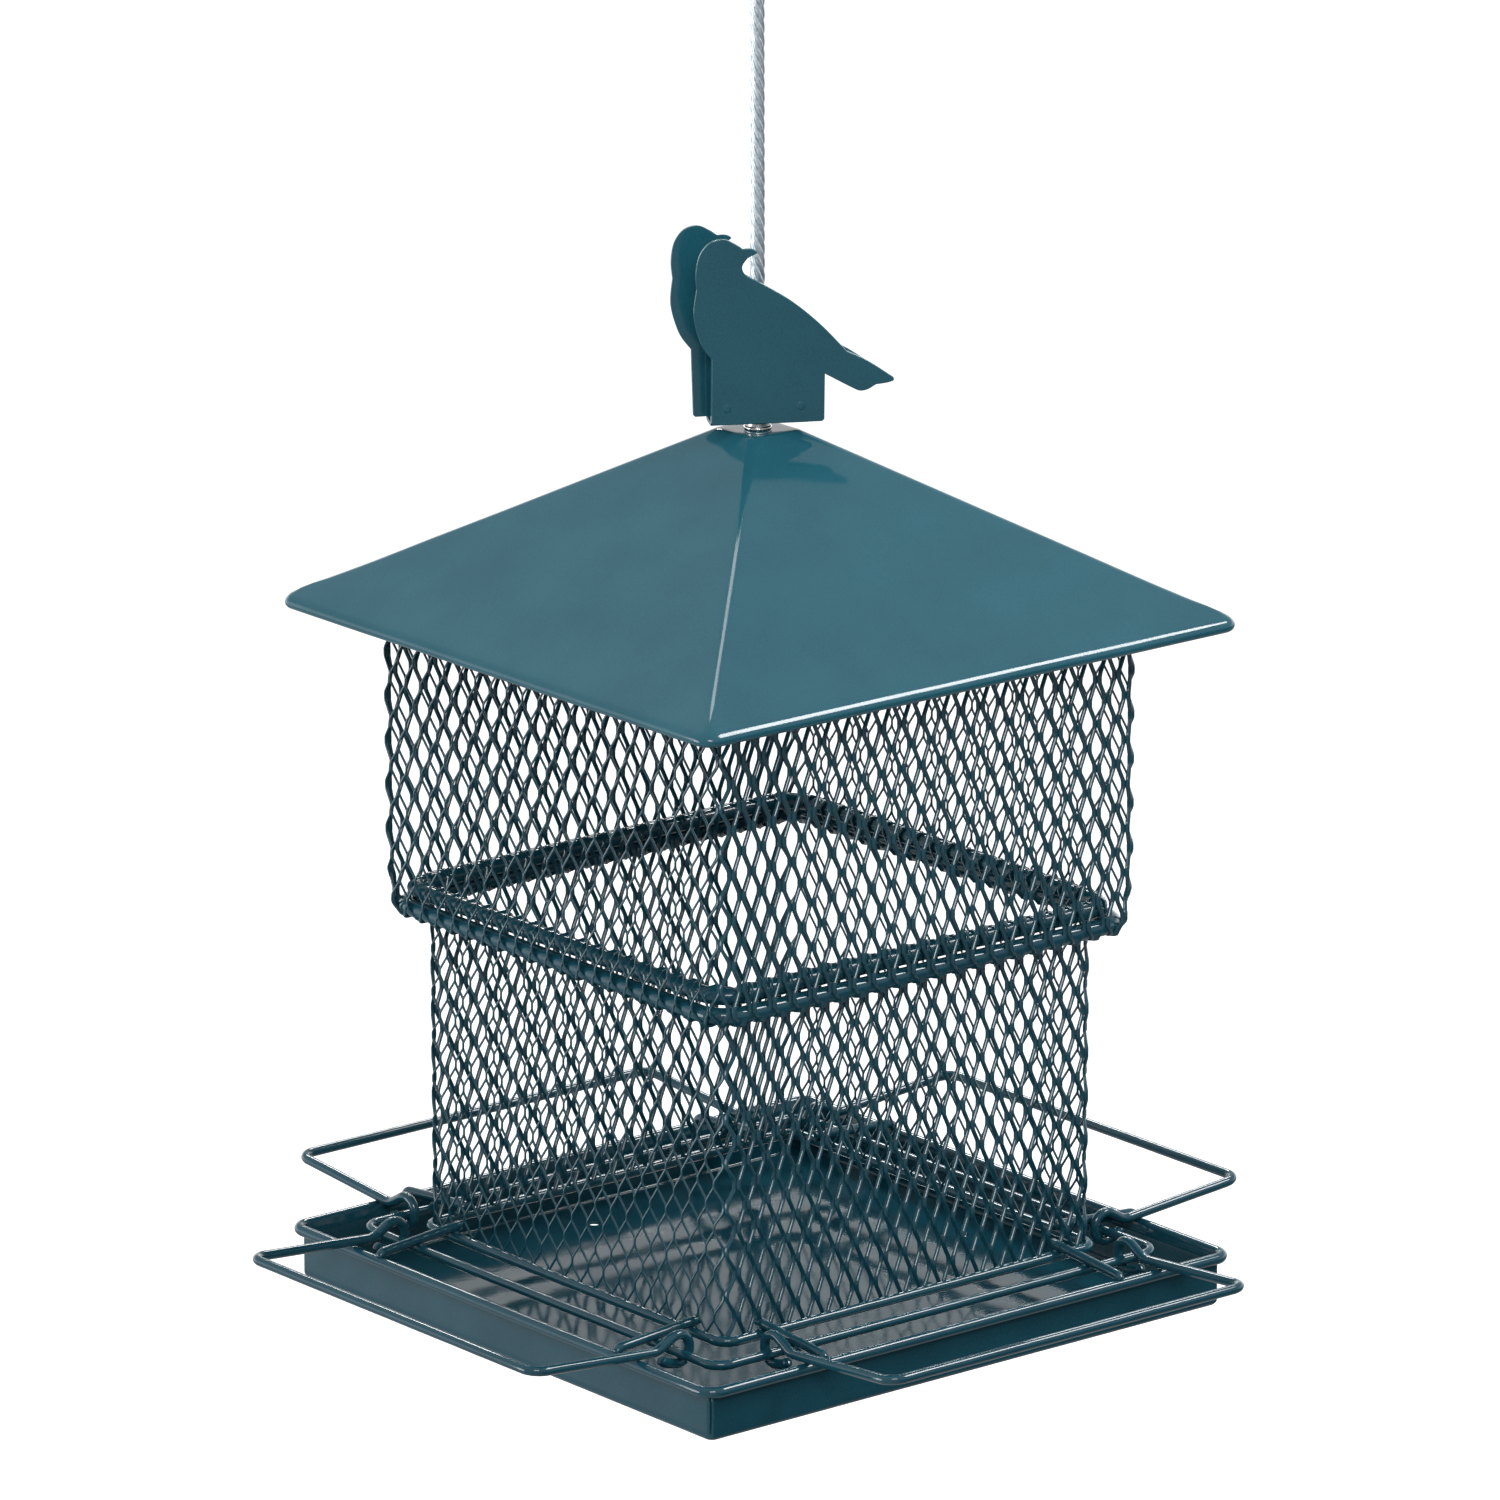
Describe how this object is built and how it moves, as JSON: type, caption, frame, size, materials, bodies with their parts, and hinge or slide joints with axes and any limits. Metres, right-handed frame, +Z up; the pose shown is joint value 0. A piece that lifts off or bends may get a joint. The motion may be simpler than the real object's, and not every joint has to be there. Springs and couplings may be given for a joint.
{
  "type": "hanging bird feeder",
  "caption": "Hanging seed feeder with two telescoping square mesh baskets, a tray with folding wire perches, a sliding pyramid roof and a pair of sheet-metal birds on a wire rope.",
  "frame": {"origin": "the point inside the top of the cable's loop where it bears on its hook, on the feeder's vertical axis", "axes": "+Z up along the cable; -Y is the front side of the square feeder and +X its right side"},
  "size_m": [0.2808, 0.2808, 0.48],
  "materials": {
    "green_enamel": "glossy dark teal green enamel on sheet steel and wire",
    "wire_rope": "galvanised stranded wire rope",
    "zinc_plate": "bright zinc plate",
    "crimp_alloy": "pressed aluminium sleeve"
  },
  "bodies": {
    "upper_basket": {"upper_mesh_front": "green_enamel", "upper_mesh_right": "green_enamel", "upper_mesh_back": "green_enamel", "upper_mesh_left": "green_enamel", "upper_corner_front": "green_enamel", "upper_corner_right": "green_enamel", "upper_corner_back": "green_enamel", "upper_corner_left": "green_enamel", "upper_bottom_ring": "green_enamel", "upper_top_ring": "green_enamel", "cross_strap": "green_enamel", "stop_washer": "zinc_plate", "cable_stop": "crimp_alloy", "hanging_cable": "wire_rope", "loop_ferrule": "crimp_alloy"},
    "lower_basket": {"tray": "green_enamel", "foot_wire": "green_enamel", "perch_wire": "green_enamel", "tie_bar_1": "green_enamel", "tie_bar_2": "green_enamel", "tie_bar_3": "green_enamel", "tie_bar_4": "green_enamel", "tie_bar_5": "green_enamel", "tie_bar_6": "green_enamel", "tie_bar_7": "green_enamel", "tie_bar_8": "green_enamel", "lower_mesh_front": "green_enamel", "lower_mesh_right": "green_enamel", "lower_mesh_back": "green_enamel", "lower_mesh_left": "green_enamel", "lower_corner_front": "green_enamel", "lower_corner_right": "green_enamel", "lower_corner_back": "green_enamel", "lower_corner_left": "green_enamel", "lower_top_ring": "green_enamel"},
    "roof": {"roof": "green_enamel"},
    "finial_eyelet": {"finial_eyelet": "zinc_plate"},
    "finial": {"finial_bracket": "green_enamel", "bird_front": "green_enamel", "bird_rear": "green_enamel", "finial_rivets": "green_enamel"},
    "perch_front": {"perch_front": "green_enamel"},
    "perch_right": {"perch_right": "green_enamel"},
    "perch_back": {"perch_back": "green_enamel"},
    "perch_left": {"perch_left": "green_enamel"}
  },
  "joints": [
    {"name": "lower_basket_slide", "type": "slide", "parent": "upper_basket", "child": "lower_basket", "axis": [0, 0, 1], "range_m": [0, 0.086]},
    {"name": "roof_slide", "type": "slide", "parent": "upper_basket", "child": "roof", "axis": [0, 0, 1], "range_m": [0, 0.08]},
    {"name": "finial_slide", "type": "slide", "parent": "roof", "child": "finial_eyelet", "axis": [0, 0, 1], "range_m": [0, 0.008]},
    {"name": "finial_swivel", "type": "hinge", "parent": "finial_eyelet", "child": "finial", "pos_m": [0, 0, -0.2052], "axis": [0, 0, 1], "continuous": true},
    {"name": "perch_front_fold", "type": "hinge", "parent": "lower_basket", "child": "perch_front", "pos_m": [0, -0.0851, -0.459], "axis": [-1, 0, 0], "range_deg": [0, 80]},
    {"name": "perch_right_fold", "type": "hinge", "parent": "lower_basket", "child": "perch_right", "pos_m": [0.0851, 0, -0.459], "axis": [0, -1, 0], "range_deg": [0, 80]},
    {"name": "perch_back_fold", "type": "hinge", "parent": "lower_basket", "child": "perch_back", "pos_m": [0, 0.0851, -0.459], "axis": [1, 0, 0], "range_deg": [0, 80]},
    {"name": "perch_left_fold", "type": "hinge", "parent": "lower_basket", "child": "perch_left", "pos_m": [-0.0851, 0, -0.459], "axis": [0, 1, 0], "range_deg": [0, 80]}
  ]
}
